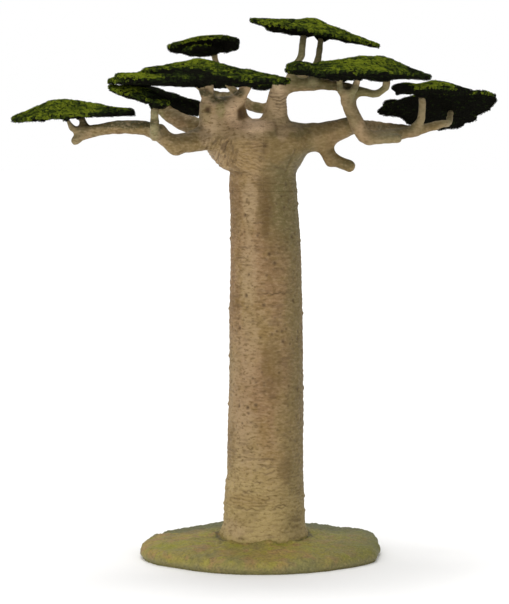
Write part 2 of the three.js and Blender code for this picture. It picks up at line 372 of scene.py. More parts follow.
RING_PITCH = 1.7
LEVEL_PITCH = 1.9
BLEND = 1.6 * MM
TWIG_RADIUS = 2.9 * MM
# Limbs that stand up, which are painted paler than the level boughs, partly as painted light on
# their fronts.
STANDING = ("front_stem", "left_upright", "middle_upright", "upright_bridge", "right_upright",
            "left_upright_tip", "left_upright_twig", "middle_upright_tip", "left_front_twig")

total, strongest, ring, rolls, pale, thin, ringed = np.zeros((7, len(skin)))
for limb in limbs.values():
    low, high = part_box(limb.node)
    near = np.all((skin > np.array(low) - 5 * MM) & (skin < np.array(high) + 5 * MM), axis=1)
    near = np.flatnonzero(near)
    along, offset, distance = limb.locate(skin[near])
    local = np.column_stack([offset @ limb.side, offset @ limb.front, along])
    weight = np.exp(-np.maximum(distance - limb.radius, 0) / BLEND) + 1e-6
    total[near] += weight
    rolls[near] += weight * lumps(local, (9, 9, 4), len(limb.node) + 50)
    pale[near] += weight * (limb.node in STANDING)
    thin[near] += weight * (limb.radius < TWIG_RADIUS)
    ringed[near] += weight * (limb.node == "front_stem")
    waver = 1.6 * lumps(local, 8, len(limb.node)) + 0.5 * lumps(local, 2.5, 9)
    leads = weight > strongest[near]
    ring[near[leads]] = (along / MM + waver)[leads]
    strongest[near[leads]] = weight[leads]
total = np.maximum(total, 1e-6)
for share in (rolls, pale, thin, ringed):
    share /= total
ring_sure = ramp(strongest / total, 0.5, 0.8)
ring_wave = np.sin(ring * math.tau / RING_PITCH)
print("wrinkles on", int((total > 1e-6).sum()), "vertices")

# %% How strong each kind of relief is, from the foot up
# Each place on the model is a share from 0 to 1. Heights and widths are in millimetres.
x_mm, y_mm = skin[:, 0] / MM, skin[:, 1] / MM
round_axis = np.hypot(skin[:, 0], skin[:, 1]) / MM
neck = ramp(height, 205, 213)
head = neck * (1 - ramp(height, 240, 248))
foot = 1 - ramp(height, 36, 74)
shaft = (1 - neck) * (1 - foot)
limb_share = neck * ramp(round_axis, 26, 34)
saddle = ramp(height, 228, 233) * (1 - ramp(np.abs(x_mm + 8) / 12, 0.8, 1.2)) * head
right_head = ramp(x_mm, 3, 9) * ramp(height, 215, 220) * head
shoulder = ramp(-x_mm, 12, 17) * (1 - ramp(-x_mm, 28, 36)) * ramp(height, 213.5, 218)
shoulder *= (1 - ramp(height, 229, 236)) * ramp(-y_mm, -14, -4)

# Soft level wrinkles, which slant down over the head and fade in patches.
slanted = skin + np.outer((x_mm + 6) * 0.35 * (1 - ramp(height, 222, 228)) * neck * MM, (0, 0, 1))
wrinkles = lumps(slanted, (6, 6, 1.2), 15)
wrinkle_force = 0.24 * foot + 0.22 * shaft + 0.28 * head * (1 - limb_share) + 0.06 * neck
wrinkle_force *= (1 - 0.7 * saddle) * (1 - 0.6 * right_head)
wrinkle_force *= (0.35 + 0.65 * ramp(lumps(skin, 11, 6), -0.3, 0.3))
ring_force = neck * (0.10 + 0.9 * ringed) * ramp(lumps(skin, 8, 16), -0.3, 0.3) * ring_sure

# Fine level lines, which turn steep on the left shoulder, where deep folds hang as well.
steep = np.column_stack([x_mm - 0.4 * (height - 220), y_mm, height + 0.4 * x_mm]) * MM
folds = lumps(steep, (1.5, 5, 4.5), 17)
level = slanted[:, 2] / MM + 1.3 * lumps(slanted, 8, 18) + 0.5 * lumps(slanted, 2.5, 19)
steep_line = steep[:, 0] / MM + 1.0 * lumps(steep, 7, 28) + 0.5 * lumps(steep, 2.5, 29)
level = np.where(shoulder > 0.5, steep_line, level)
level_wave = np.sin(level * math.tau / LEVEL_PITCH)
level_force = 0.75 * head * (1 - limb_share) * ramp(-x_mm, -9, 2) * (1 - ramp(height, 228, 233))
level_force += 0.4 * foot * ramp(height, 24, 32) + 0.15 * shaft
level_force *= ramp(lumps(slanted, (7, 7, 4), 27), -0.25, 0.15)
level_force = level_force * (1 - ramp(shoulder, 0.2, 0.5)) + 0.4 * ramp(shoulder, 0.5, 0.75)

# The sum of them all, and the wash that lies in the low places.
relief = ring_wave * ring_force * 0.16 * MM + level_wave * level_force * 0.14 * MM
relief += wrinkles * wrinkle_force * MM
relief += rolls * (0.25 * foot + 0.10 * shaft + 0.40 * neck) * MM + 0.25 * shaft * MM
relief += lumps(skin, (14, 14, 30), 3) * (0.5 - 0.2 * neck) * MM
relief += lumps(skin, (2.2, 2.2, 1.4), 4) * (0.26 * foot + 0.2 * shaft + 0.1) * MM
relief += folds * shoulder * 0.85 * MM
wash = ramp(-rolls, 0.2, 0.7) * 0.15 * neck
wash += ramp(-wrinkles, 0.10, 0.4) * np.clip(wrinkle_force * 1.7, 0, 0.5)
wash = np.maximum(wash, ramp(-folds, 0.05, 0.35) * shoulder * 0.7)
print("relief before knots:", round(relief.min() / MM, 2), "to", round(relief.max() / MM, 2), "mm")

# %% Knots, pits and cracks on the trunk
PITS = 620
KNOTS = 60
CRACKS = 26
DENT_STEP = 0.35
TRUNK_RADIUS = 20 * MM
TRUNK_SHIFT = 2 * MM
OUTSIDE = 40
IN_FRONT = -80 * MM
chance = random.Random(20)
tree_of_points = kdtree.KDTree(len(skin))
for index, point in enumerate(skin):
    tree_of_points.insert(point, index)
tree_of_points.balance()
wood_surface = surface_of(wood)
trunk_low, trunk_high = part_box("trunk")


def surface_from(point, direction):
    """Where a straight line from the point first meets the wood, or None."""
    return wood_surface.ray_cast(Vector(point), Vector(direction).normalized())[0]


def front_surface(x, z):
    """Where the wood lies behind a place (x, z) of the front view, in millimetres."""
    return surface_from((x * MM, IN_FRONT, z * MM), (0, 1, 0))


def trunk_surface(turn, z):
    """Where the trunk's surface lies at a turn round its axis and a height in millimetres."""
    away = Vector((math.cos(turn), math.sin(turn), 0)) * OUTSIDE * MM
    start = Vector(((trunk_low.x + trunk_high.x) / 2 + TRUNK_SHIFT, 0, z * MM)) + away
    return surface_from(start, Vector((TRUNK_SHIFT, 0, z * MM)) - start)


def press(point, radius, depth, dark):
    """Sinks a round dent into the skin, or raises a knot if its depth in mm is negative."""
    if point is None:
        return
    for _, index, distance in tree_of_points.find_range(point, radius * MM):
        share = (1 - (distance / (radius * MM)) ** 2) ** 2
        relief[index] -= depth * MM * share
        wash[index] = max(wash[index], dark * share)


for _ in range(PITS):
    spot = trunk_surface(chance.uniform(0, math.tau), chance.uniform(16, 205))
    if spot and noise.noise(spot / (9 * MM)) > chance.uniform(-0.5, 0.2):
        faint = 0.6 if spot.z < 60 * MM else 1.0
        press(spot, chance.uniform(0.7, 1.2), chance.uniform(0.25, 0.6) * faint,
              chance.uniform(0.5, 1.0) * faint)
for _ in range(KNOTS):
    spot = trunk_surface(chance.uniform(0, math.tau), chance.uniform(14, 205))
    if spot:
        press(spot, chance.uniform(1.2, 2.4), -chance.uniform(0.2, 0.45), 0.15)

# The knots, pits and cracks that catch the eye: their turn round the trunk in degrees, where 270
# faces the front, and their height in millimetres. A crack has its length and its slope as well.
BIG_KNOTS = [(180, 176.5), (178, 138), (181, 111.5), (179, 84.8), (183, 42), (180, 29),
             (2, 196), (0, 135), (1, 84.8), (357, 33), (0, 25), (4, 203)]
BIG_PITS = [(236, 190), (226, 128), (240, 146), (279, 169), (288, 164), (322, 178),
            (270, 141), (300, 121), (332, 126), (330, 122), (227, 85), (244, 84.5), (258, 86),
            (329, 94), (322, 143)]
BIG_CRACKS = [(224, 172.4, 8.5, 0), (256, 147, 23, 0.6), (229, 38.5, 11, -0.7),
              (222, 28.5, 17, 0), (279, 29, 9, 0.8), (252, 186, 7, 0), (285, 30.5, 8, 0),
              (262, 52, 9, 0), (266, 48.5, 8, 0.4), (258, 56, 11, 0), (252, 44, 7, -0.5)]
for places, *dent in ((BIG_KNOTS, 1.9, -0.55, 0.4), (BIG_PITS, 1.6, 0.6, 1.0)):
    for degrees, z in places:
        press(trunk_surface(math.radians(degrees), z), *dent)


def crack(start_turn, z, length, depth, width, dark, slope):
    """Cuts a level line into the trunk that wavers a little and fades at its ends."""
    steps = max(4, int(length / (DENT_STEP * MM)))
    for step in range(steps):
        share = step / (steps - 1)
        fade = math.sin(math.pi * share) ** 0.6
        turn = start_turn + share * length / TRUNK_RADIUS
        waver = noise.noise((turn * 9, z, 0)) * 1.1 + slope * share
        press(trunk_surface(turn, z + waver), width, depth * fade, dark * fade)


for _ in range(CRACKS):
    crack(chance.uniform(0, math.tau), chance.uniform(22, 203), chance.uniform(3, 11) * MM,
          chance.uniform(0.1, 0.3), 0.6, chance.uniform(0.3, 0.7), chance.uniform(-0.8, 0.8))
for degrees, z, length, slope in BIG_CRACKS:
    crack(math.radians(degrees), z, length * MM, 0.35, 0.65, 0.8, slope)
print(PITS, "pits,", KNOTS + len(BIG_KNOTS), "knots and", CRACKS + len(BIG_CRACKS), "cracks")

# %% [markdown]
# ## Folds at the neck
#
# Where the trunk swells into its head the skin hangs over on one side like a collar, and soft
# creases part the shoulders from the middle. They are few and each is different, so they are given
# as a short list of places, in millimetres, as the front shows them.

# %% Lay the folds
FOLDS = [
    [(-13.5, 226), (-14.5, 221), (-16, 217), (-17, 213.5)],
    [(13, 214), (15, 219), (18.5, 226)],
    [(7, 241), (8.5, 234)],
]


def fold(stations, width, depth, dark):
    """Presses a crease into the front of the head along a line of (x, z) places."""
    for (x0, z0), (x1, z1) in zip(stations[:-1], stations[1:]):
        steps = max(2, int(math.hypot(x1 - x0, z1 - z0) / DENT_STEP))
        for step in range(steps):
            share = step / steps
            press(front_surface(x0 + (x1 - x0) * share, z0 + (z1 - z0) * share), width, depth, dark)


for stations in FOLDS:
    fold(stations, 1.3, 0.18, 0.4)
# Dents in the front of the head and neck: the place (x, z), the radius, the depth and how dark.
DENTS = [((1.5, 228), 1.7, 0.5, 0.8), ((-30.3, 247), 1.5, 0.5, 1.0),
         ((-29.6, 247.4), 3.0, 1.3, 1.0), ((-11, 245.5), 4.2, 1.4, 1.0),
         ((-30, 258), 2.5, 0.3, 0.6), ((26, 236), 2.0, 0.4, 0.4), ((13, 207), 1.6, 0.5, 0.7)]
for place, *dent in DENTS:
    press(front_surface(*place), *dent)

left_side = ramp(-x_mm, 2, 14) * (round_axis < 34)
lip = bell(height, 216.5, 1.9) * left_side
under_lip = bell(height, 212.6, 1.4) * left_side
relief += (0.9 * lip - 0.9 * under_lip) * MM
wash = np.maximum(wash, 0.5 * under_lip)
print(len(FOLDS), "folds and the lip of the collar")

# %% [markdown]
# ## Strokes of paint
#
# The painter did not spray the bark evenly. Broad soft strokes of other colours lie on the front: a
# dark one below the neck, cream to the left of it, bone and cream in the saddle of the head as a
# painted highlight where the pads above shade it, honey lower down, olive on the shaded side,
# partly as painted shade, and moss and sage on the limbs under the pads, the moss partly as painted
# shade, with one moss stroke as a painted shadow line along the top of the right outer bough. Each
# is laid here as a middle (x, z), half its width and half its height, all in millimetres, and its
# strength. A little noise breaks its edge. They lie on the skin before any of it is moved.

# %% Lay the strokes
STROKES = {
    "brown": [(2, 196, 5, 19, 0.6), (6, 176, 7, 10, 0.35), (5, 106, 6, 19, 0.5),
        (1.5, 226.5, 3, 4, 0.6), (-17, 60, 3, 16, 0.4), (13, 50, 4, 9, 0.5),
        (-14.5, 196, 4, 16, 0.35), (-17, 226, 3.5, 6, 0.45), (-30.5, 247, 1.6, 1.4, 0.9),
        (-15, 141, 3, 8, 0.4), (5, 160, 6, 7, 0.3), (-10.5, 246, 3.6, 4.5, 1),
        (2, 190, 3, 16, 0.9), (-9, 24, 8, 4, 0.25)],
    "cream": [(-6.5, 196, 4.2, 15, 0.75), (-7, 160, 4.5, 22, 0.6), (-6.5, 118, 5, 22, 0.45),
        (-10, 76, 6, 14, 0.45), (-6, 56, 8, 7, 0.35), (-13, 243, 8, 5, 0.75),
        (-12, 252, 6, 6, 0.6), (11, 235, 3.5, 5, 0.8), (-5, 212, 4, 3, 0.4), (-29, 254, 4, 6, 0.5),
        (-8, 235, 12, 3.6, 0.85), (8, 253, 6, 12, 0.85), (57, 262, 4, 6, 0.3),
        (16, 238, 6, 3, 0.4), (-15, 17, 7, 6, 0.7), (-30, 238, 6, 8, 0.8)],
    # Bone, and the cream stroke at (-8, 235), light the saddle as a painted highlight where the
    # pads above shade it.
    "bone": [(-6, 239, 13, 4, 1), (8, 262, 4, 9, 0.75), (-14, 245, 6, 7, 0.75),
        (-31, 234, 5, 5, 0.3), (51.5, 264.5, 2.5, 3.5, 0.7), (-27, 252, 3, 3, 0.5)],
    "sage": [(60, 256.5, 14, 5, 1), (25, 263, 12, 4, 0.5), (40, 260, 8, 2, 0.7),
        (17, 276, 6, 10, 0.5), (31, 276, 6, 10, 0.3), (-22.5, 248, 2.8, 6, 0.8),
        (-32, 245, 4, 6, 0.35), (-3.5, 248, 4.2, 4, 0.5), (-58, 240, 4, 9, 0.6)],
    "honey": [(1.5, 72, 3.4, 9, 0.75), (2.5, 107, 3, 4, 0.7), (5, 58.5, 7, 2.6, 0.6),
        (-8, 33, 14, 5, 0.5), (-10, 219, 7, 12, 0.35), (8, 224, 7, 6, 0.55), (-33, 240, 5, 8, 0.6),
        (1, 238, 3, 3, 0.5), (-16, 185, 4, 8, 0.3), (-28, 247, 3, 5, 0.5), (46, 220, 6, 4, 0.3),
        (14, 228, 13, 6, 0.6)],
    # Moss on the tops of the boughs is partly painted shade under the pads; the stroke at x 71 is a
    # painted shadow line.
    "moss": [(-31, 256.5, 5, 2.4, 1), (-23, 253.4, 8, 3.2, 1), (-14, 256.5, 5, 2.6, 1),
        (-75, 240.4, 24, 3.2, 1), (34, 243.5, 16, 1.8, 0.7), (71, 237.6, 12, 2, 0.6),
        (-3.5, 248, 4.2, 4, 0.4), (47, 217.6, 3.5, 2.5, 0.35), (42, 259.5, 18, 1.6, 0.6),
        (-40, 236.5, 8, 2, 0.5), (31, 276, 3, 12, 0.7), (58, 256, 12, 3, 0.15),
        (18, 280, 4, 10, 0.4)],
    # Olive on the right of the trunk and on the boughs is partly painted shade.
    "olive": [(17, 190, 6, 22, 0.5), (18, 145, 5, 30, 0.4), (19, 219, 6, 8, 0.45),
        (12, 212, 5, 6, 0.5), (-3.5, 248, 4.2, 4, 0.8), (-19, 112, 3, 20, 0.4),
        (18, 100, 5, 20, 0.3), (-30, 250, 2.5, 4, 0.4), (17, 45, 4, 14, 0.25), (9, 205, 5, 9, 0.4),
        (17, 277, 8, 14, 0.9), (31, 277, 7, 14, 1), (17, 19, 6, 9, 0.35), (49, 246, 5, 12, 0.8),
        (-58, 241, 4, 10, 0.8), (24, 262, 13, 5, 0.8), (-75, 240, 26, 3.6, 0.9),
        (48, 258, 16, 3, 0.6), (73, 236, 16, 4, 0.45), (60, 251, 14, 4, 0.5),
        (40, 243, 14, 2.5, 0.6), (-52, 246, 14, 3, 0.5), (45, 218, 7, 4, 0.5),
        (-28, 270, 5, 10, 0.6)],
}
waver = 2.4 * lumps(skin, 7, 61) + 1.6 * lumps(skin, 2.5, 62)
to_front = ramp(0.6 * np.clip(outward[:, 2], 0, 1) - outward[:, 1], -0.15, 0.3)


def off_stroke(x, z, wide, tall):
    """How far each point of the skin lies from a stroke's middle, where 1 is its edge."""
    broken = waver * min(1, tall / 6)
    return np.hypot((x_mm - x + 0.5 * broken) / wide, (height - z + broken) / tall)


for stroke_name, strokes in STROKES.items():
    paint(wood, stroke_name, spread(off_stroke, 0.55, 1.25, strokes) * to_front)
print(sum(len(strokes) for strokes in STROKES.values()), "strokes")

# %% Move the skin and keep its paint
# Where the wood is drawn in or out: a place, a reach and a move, in millimetres.
WOOD_PULLS = [
    [(-18.5, -19, 253), 8, (0, 0, 2.2)],
    [(21, -16, 270), 9, (-2.6, 0, 0)],
    [(-23, 0, 216), 12, (1.8, 0, 0.8)],
    [(-24, -6, 5), 14, (2.2, 0, 0)],
    [(-48, -22, 224), 7, (0, 0, -1.0)],
    [(-54.5, -25, 237), 5, (0, 0, 2.0)],
    [(-79, -14, 240), 14, (0, 0, 0.6)],
]
place_points(wood, pull(skin + outward * relief[:, None], WOOD_PULLS))
outward = normals_of(wood)
for name, values in {
    "wash": np.clip(wash, 0, 1), "upward": outward[:, 2], "limb": limb_share, "ring": ring,
    "ring_force": ring_force, "level": level, "level_force": level_force, "pale": pale * neck,
    "thin": thin * neck,
}.items():
    paint(wood, name, values)
print("relief:", round(relief.min() / MM, 2), "to", round(relief.max() / MM, 2), "mm")

# %% [markdown]
# ## Three parts of wood
#
# A part may hold only so many faces, so the one skin is cut where a cut hides best: just under
# the collar, and down the middle of the crown. Each cut is filled, which leaves three closed parts
# that meet face to face.


# %% Cut the skin
def part_of(whole, name, *cuts):
    """Copies the whole and throws away what lies beyond each cut: a place and a direction."""
    part = new_piece(name, whole.data.copy())
    only(part)
    switch_to("EDIT")
    for place, thrown_away in cuts:
        bpy.ops.mesh.select_all(action="SELECT")
        bpy.ops.mesh.bisect(plane_co=place, plane_no=thrown_away, use_fill=True, clear_outer=True)
    switch_to("OBJECT")
    return part


COLLAR = Vector((0, 0, 203.1)) * MM
CROWN_MIDDLE = Vector((1, 0, 0)) * MM
UP, DOWN, LEFT, RIGHT = (0, 0, 1), (0, 0, -1), (-1, 0, 0), (1, 0, 0)

trunk_bark = part_of(wood, "trunk_bark", (COLLAR, UP))
left_bark = part_of(wood, "left_crown_bark", (COLLAR, DOWN), (CROWN_MIDDLE, RIGHT))
right_bark = part_of(wood, "right_crown_bark", (COLLAR, DOWN), (CROWN_MIDDLE, LEFT))
barks = [trunk_bark, left_bark, right_bark]
for part in barks:
    part.data.shade_smooth()
    print(part.name, len(part.data.polygons), "faces")

# %% [markdown]
# ## Finishes as sums
#
# A finish is a small tree of nodes. Writing it as sums keeps it readable: `Wire` wraps one output
# of a node, and adding or multiplying wires adds the Math node that does it. Everything else,
# noise, steps and coats of colour, comes from `Finish.node`.


# %% The two helpers for finishes
def operator(operation, swapped=False):
    """Makes a method of Wire that adds a Math node."""

    def method(wire, other):
        pair = (other, wire) if swapped else (wire, other)
        return wire.finish.node("Math", dict(enumerate(pair)), operation=operation)

    return method


class Wire:
    """One output of a node. Arithmetic on wires adds Math nodes to their finish."""

    def __init__(self, finish, socket):
        self.finish = finish
        self.socket = socket

    __add__ = __radd__ = operator("ADD")
    __sub__ = operator("SUBTRACT")
    __rsub__ = operator("SUBTRACT", swapped=True)
    __mul__ = __rmul__ = operator("MULTIPLY")

    def between(self, low, high):
        """A smooth step from 0 where this is `low` to 1 where it is `high`."""
        inputs = {"Value": self, "From Min": low, "From Max": high}
        return self.finish.node("MapRange", inputs, interpolation_type="SMOOTHSTEP")


class Finish:
    """A material under construction."""

    def __init__(self, name):
        self.material = bpy.data.materials.new(name)
        self.material.use_nodes = True
        self.tree = self.material.node_tree
        self.place = self.node("TexCoord", output="Object")

    def fill(self, node, inputs):
        """Fills a node's inputs with values or wires."""
        for name, value in inputs.items():
            if isinstance(value, Wire):
                self.tree.links.new(value.socket, node.inputs[name])
            else:
                node.inputs[name].default_value = value

    def node(self, kind, inputs=None, output=0, **settings):
        """Adds a node, sets it, fills its inputs and gives one of its outputs."""
        node = self.tree.nodes.new("ShaderNode" + kind)
        for name, value in settings.items():
            setattr(node, name, value)
        self.fill(node, inputs or {})
        return Wire(self, node.outputs[output])

    def axis(self, index):
        """One coordinate of the place, in millimetres."""
        return self.node("SeparateXYZ", {"Vector": self.place}, output=index) * 1000

    def noise(self, size, detail=2.0, stretch=(1, 1, 1), shift=0.0):
        """Cloudy noise from 0 to 1 whose clouds are `size` millimetres across."""
        inputs = {"Vector": self.place, "Location": (shift, shift, shift), "Scale": stretch}
        place = self.node("Mapping", inputs)
        return self.node("TexNoise", {"Vector": place, "Scale": 1 / (size * MM), "Detail": detail})

    def coats(self, colour, *layers):
        """Lays coats over a colour in turn: how much of each one shows, and its own colour."""
        for share, coat in layers:
            colour = self.node("Mix", {0: share, 6: colour, 7: coat}, output=2, data_type="RGBA")
        return colour

    def painted(self, name):
        """The number that a piece keeps at each vertex under this name."""
        return self.node("Attribute", output="Fac", attribute_name=name)

    def set(self, **inputs):
        """Sets or wires the shader's own sockets, an underscore standing for a space."""
        inputs = {name.replace("_", " "): value for name, value in inputs.items()}
        self.fill(self.tree.nodes["Principled BSDF"], inputs)

    def bump(self, height, distance):
        """Grain too fine for the mesh: shades it as if the height stood `distance` mm proud."""
        self.set(Normal=self.node("Bump", {"Height": height, "Distance": distance * MM}))


def tint(red, green, blue):
    """A paint colour, from the 0 to 255 values of a colour card to the shader's own scale."""
    parts = [value / 255 for value in (red, green, blue)]
    return tuple(p / 12.92 if p <= 0.04045 else ((p + 0.055) / 1.055) ** 2.4 for p in parts) + (1,)


def finish_with(piece, finish):
    """Gives the piece this finish all over."""
    piece.data.materials.clear()
    piece.data.materials.append(finish.material)


print("finish helpers ready")

# %% [markdown]
# ## Painted bark
#
# The moulding is painted a sandy tan, lighter at the foot, and washed with thin brown that stays in
# the wrinkles and pits. Its lower left is painted paler as a painted highlight, and the side turned
# from the front lamp is painted olive as painted shade. The limbs are sprayed with olive and moss
# from above, partly a mist of paint and partly painted shade under the pads. A soft dark streak
# runs down from the neck. The limbs that stand up are paler, partly as painted light on their
# fronts, and the thin twigs a greyish green.

# %% Mix the bark
bark = Finish("painted_bark")
across, up = bark.axis(0), bark.axis(2)
clouds = bark.noise(24, stretch=(1.6, 1.6, 0.5))
blotches = bark.noise(7, shift=3.0)
mottle = bark.noise(2.2, detail=3.0, stretch=(0.8, 0.8, 1.0), shift=5.0)
level_grain = bark.noise(1.15, detail=4.0, stretch=(0.5, 0.5, 1.0), shift=7.0)
speckle = bark.noise(0.8, detail=3.0)
painted = bark.painted
on_limb = painted("limb")

SAND = tint(138, 115, 74)
ROSE = tint(138, 109, 75)
HONEY = tint(130, 104, 57)
OLIVE = tint(98, 89, 52)
MOSS = tint(56, 54, 24)
BROWN = tint(92, 70, 32)
UMBER = tint(66, 46, 26)
FOOT_SAND = tint(173, 152, 101)
BONE = tint(206, 176, 142)
SAGE = tint(112, 110, 60)
TURF_DUST = tint(128, 120, 52)
HEAD_TAN = tint(172, 143, 100)
PALE = tint(168, 144, 110)
GREY_GREEN = tint(146, 146, 112)

# The next three lines paint light and shade: a paler lower left as a painted highlight, olive on
# the side away from the front lamp as painted shade, and moss on the tops of the limbs, partly a
# mist of paint and partly painted shade under the pads.
lit_side = (across + blotches * 8).between(2, -12) * up.between(150, 100)
turned_from_light = (across + blotches * 8 + up.between(150, 200) * 12).between(6, 26)
shaded_side = turned_from_light * (0.55 + up.between(150, 195) * 0.35) * (1 - on_limb)
# The tops of the limbs, which take moss: partly a mist of paint and partly painted shade under the
# pads.
misted_and_shaded = (painted("upward") + blotches * 0.8).between(0.1, 0.8) * on_limb
dusty = (up + mottle * 7).between(17, 12)
calm = 1 - painted("brown") * 0.7
calm = calm * (1 - turned_from_light * 0.4) * (1 - up.between(60, 30) * 0.25)


def lines(phase, pitch):
    """The ring or level lines carved in the skin, as a wave from -1 to 1."""
    return bark.node("Math", {0: painted(phase) * (math.tau / pitch)}, operation="SINE")


ring_wave, level_wave = lines("ring", RING_PITCH), lines("level", LEVEL_PITCH)
ring_force, level_force = painted("ring_force"), painted("level_force")
groove = (ring_wave - level_grain * 0.8).between(-0.5, -1.25) * ring_force
line = (level_wave - level_grain * 0.9).between(-0.6, -1.4) * level_force

colour = bark.coats(
    SAND,
    (clouds.between(0.38, 0.62), ROSE),
    (blotches.between(0.45, 0.75) * 0.6, HONEY),
    # A painted highlight on the lower left.
    (lit_side * 0.45, PALE),
    ((up + blotches * 24).between(96, 32) * 0.95, FOOT_SAND),
    (up.between(206, 216) * (1 - on_limb) * 0.6, HEAD_TAN),
    # Olive as painted shade on the side away from the front lamp.
    (shaded_side * (1 - up.between(50, 15) * 0.5), OLIVE),
    # Paler standing limbs, partly as painted light on their fronts.
    (painted("pale") * (0.4 + blotches * 0.5), PALE),
    (painted("honey") * 0.8, HONEY),
    (painted("olive") * 0.75, OLIVE),
    (painted("cream") * 0.75, PALE),
    # Olive on the level boughs, partly painted shade under the pads.
    (on_limb * (1 - painted("pale")) * 0.28, OLIVE),
    # Moss on the tops of the limbs, partly painted shade under the pads.
    (misted_and_shaded * 0.42, MOSS),
    (painted("bone") * 0.85, BONE),
    (painted("sage") * 0.7, SAGE),
    (painted("thin") * 0.3, GREY_GREEN),
    (painted("moss") * 0.95, MOSS),
    (painted("brown") * 0.9, BROWN),
    (dusty * 0.6, TURF_DUST),
    (mottle.between(0.5, 0.66) * 0.16 * calm, PALE),
    (mottle.between(0.5, 0.36) * 0.2, BROWN),
    (level_grain.between(0.5, 0.66) * 0.36 * calm, PALE),
    (level_grain.between(0.46, 0.34) * 0.6 * calm, BROWN),
    (groove * 0.6, UMBER),
    (line * 0.55, BROWN),
    (painted("wash") * 0.8, UMBER),
)
bark.set(Base_Color=colour, Roughness=0.6 + speckle * 0.2, Specular_IOR_Level=0.3)
waves = ring_wave * ring_force * 0.6 + level_wave * level_force * 0.6
bark.bump(level_grain + speckle * 0.5 + waves, 0.4)
for part in barks:
    finish_with(part, bark)
print("bark mixed")

# %% [markdown]
# ## Cores of the foliage pads
#
# Under the leaves each pad is a lumpy cake of moulded foliage, thick over the limb that carries it
# and thin at its scalloped rim. A copy of the pad's solid gets a few listed lumps, where a tier
# stands out or foliage hangs lower, and a short flare round every thin limb tip that enters it. One
# skin is wrapped round them all.

# %% Where a pad lies and which limb tips enter it
PAD_GRAIN = 0.65 * MM
TIP_REACH = 3.5 * MM
THIN_LIMB = 3.3 * MM


class Pad:
    """A pad's own three directions and how far its outline reaches at any turn."""

    def __init__(self, node):
        corners = np.unique(points_of(NODES[node]).round(6), axis=0)
        flat = corners - corners.mean(0)
        self.long, _, self.up = np.linalg.svd(flat)[2]
        if self.up[2] < 0:
            self.up = -self.up
        self.wide = np.cross(self.up, self.long)
        self.turns = np.arctan2(flat @ self.wide, flat @ self.long)
        self.reaches = np.hypot(flat @ self.wide, flat @ self.long)

    def reach(self, turn):
        """How far the outline lies from the middle at a turn."""
        gap = np.abs((self.turns - turn + math.pi) % math.tau - math.pi)
        return float(self.reaches[gap < max(0.25, gap.min() + 0.1)].max())

    def out(self, turn):
        """The direction in the pad's own plane at a turn."""
        return math.cos(turn) * self.long + math.sin(turn) * self.wide


pads = {name: Pad(name) for name in PADS}
pad_surfaces = {name: surface_of(NODES[name]) for name in PADS}
tips = []
for name, limb in limbs.items():
    for end, before in ((limb.line[0], limb.line[1]), (limb.line[-1], limb.line[-2])):
        for pad_name in PADS:
            away = pad_surfaces[pad_name].find_nearest(Vector(end))[3]
            rising = (end - before)[2] > 0
            if away < TIP_REACH and limb.radius < THIN_LIMB and rising:
                tips.append((name, pad_name, Vector(end), Vector(end - before).normalized()))
print(len(tips), "limb tips enter a pad")

# %% Build the cores
# Lumps of foliage beside a pad's own solid: their place and their half sizes in millimetres.
LUMPS = {
    "left_centre": [((-67, -52, 264.2), (11, 12, 1.5)), ((-52, -48, 267.6), (12, 10, 2)),
        ((-25, -54, 262.4), (14, 10, 1.6)), ((-11, -50, 261.8), (12, 10, 2.2)),
        ((-1, -46, 259.8), (6, 7, 2.4)), ((-64, -36, 261.2), (8, 8, 2))],
    "top": [((12, -12, 291.4), (11, 9, 2.2))],
    "right_centre": [((41, -48, 265.4), (15, 12, 2.4)), ((62, -44, 265.2), (9, 9, 2.8)),
        ((78, -38, 266.6), (8, 8, 1.6)), ((20, -56, 269), (8, 10, 2.7))],
    "upper_left": [((-17.5, 48, 285.2), (5, 9, 3)), ((-34, 46, 281.6), (11, 9, 2.6))],
    "far_left": [((-106, -18, 244.6), (10, 9, 1.2)), ((-75, -13, 246.1), (5, 8, 1.4))],
    "left_front": [((-66, -38, 256.2), (12, 12, 3)), ((-56, -34, 251.3), (5, 6, 3.3))],
    "right_upper": [((78.5, -17, 259), (8, 9, 2.3))],
    "right_lower": [((113, 62, 239.6), (7, 5, 1.9)), ((121, 58, 241.4), (6, 5, 1.8)),
        ((104, 63, 238.8), (5, 5, 1.5)), ((73, 38, 250), (5, 9, 1.8))],
    "left_rear": [((-60, 20, 257), (5, 8, 2.6)), ((-41, 32, 250.5), (6, 12, 3.2))],
}
# Corners of pads that are drawn in or out: a place, a reach and a move.
PULLS = {
    "right_lower": [((128, 58, 240), 24, (-3, 0, 2.2)), ((66, 52, 240), 22, (6, 0, 3)),
        ((133, 40, 250), 14, (-1.5, 0, 0))],
    "upper_left": [((-10, 50, 287), 9, (-1.5, 0, -0.6))],
    "left_rear": [((-50, 28, 258), 14, (0, 0, -1.4))],
    "left_centre": [((-56, -38, 259), 9, (0, 0, 1.3)), ((-44, -36, 259.5), 9, (0, 0, 1.3)),
        ((-76, -48, 262), 9, (0, 0, 0.9)), ((-17, -40, 270.5), 13, (0, 0, -0.9)),
        ((4, -36, 263), 12, (0, 0, 0.5))],
    "left_front": [((-76, -40, 259.5), 11, (0, 0, -1))],
    "far_left": [((-104, -18, 250), 12, (0, 0, -0.6))],
    "top": [((64, 0, 281.5), 11, (1.6, 0, -0.6)), ((28, 0, 297), 9, (0, 0, 1.1)),
        ((3, -12, 291), 8, (0, 0, -0.9))],
    "right_centre": [((36, -30, 273), 12, (0, 0, 0.6))],
}
# How ragged a pad's rim is, where it is more than usual.
RAGGED = {"right_lower": 1.7, "right_upper": 1.6, "upper_left": 1.4, "left_rear": 1.6}
# The tips under this pad are too close together for flares.
UNFLARED = "rear_left"


